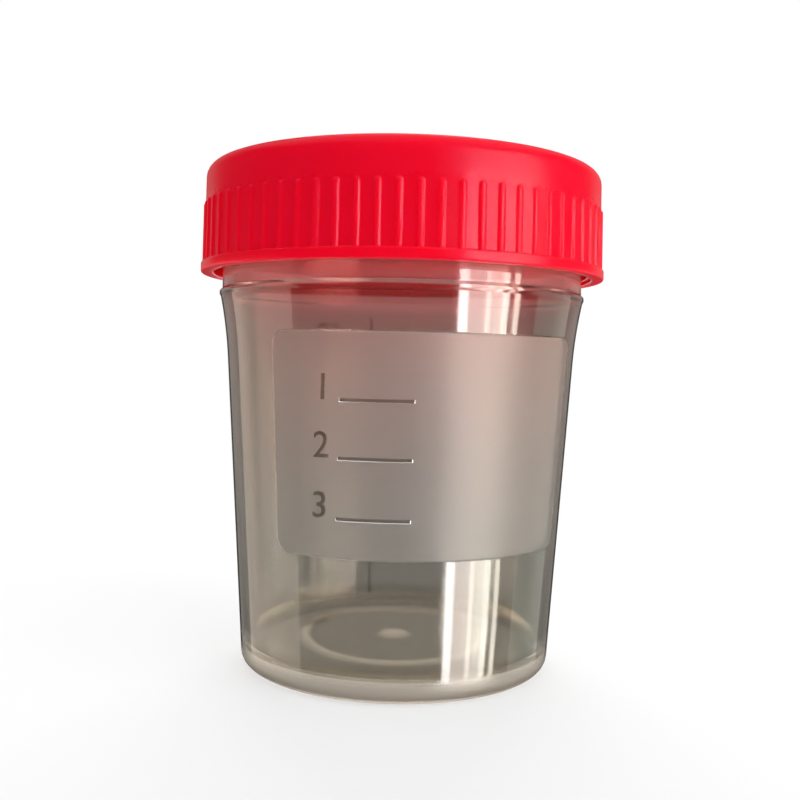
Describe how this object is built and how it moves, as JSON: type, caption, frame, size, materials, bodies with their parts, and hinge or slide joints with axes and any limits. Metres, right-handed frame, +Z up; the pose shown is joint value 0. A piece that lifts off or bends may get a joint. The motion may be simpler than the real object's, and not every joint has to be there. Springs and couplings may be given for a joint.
{
  "type": "screw-cap specimen container",
  "caption": "Tapered translucent plastic cup with a flared shoulder, writing panel and volume scale, closed by a ribbed red screw lid.",
  "frame": {"origin": "centre of the foot, in the plane it stands on", "axes": "+Z up along the axis of cup and lid; the writing panel faces -Y and the scale faces +Y"},
  "size_m": [0.0544, 0.0544, 0.0662],
  "materials": {
    "cup_plastic": "translucent polypropylene, glossy, with a frosted writing panel",
    "lid_plastic": "glossy, slightly translucent red polyethylene"
  },
  "bodies": {
    "cup": {"cup": "cup_plastic"},
    "lid": {"lid": "lid_plastic"}
  },
  "joints": [
    {"name": "lid_lift", "type": "slide", "parent": "cup", "child": "lid", "axis": [0, 0, 1], "range_m": [0, 0.03]}
  ]
}
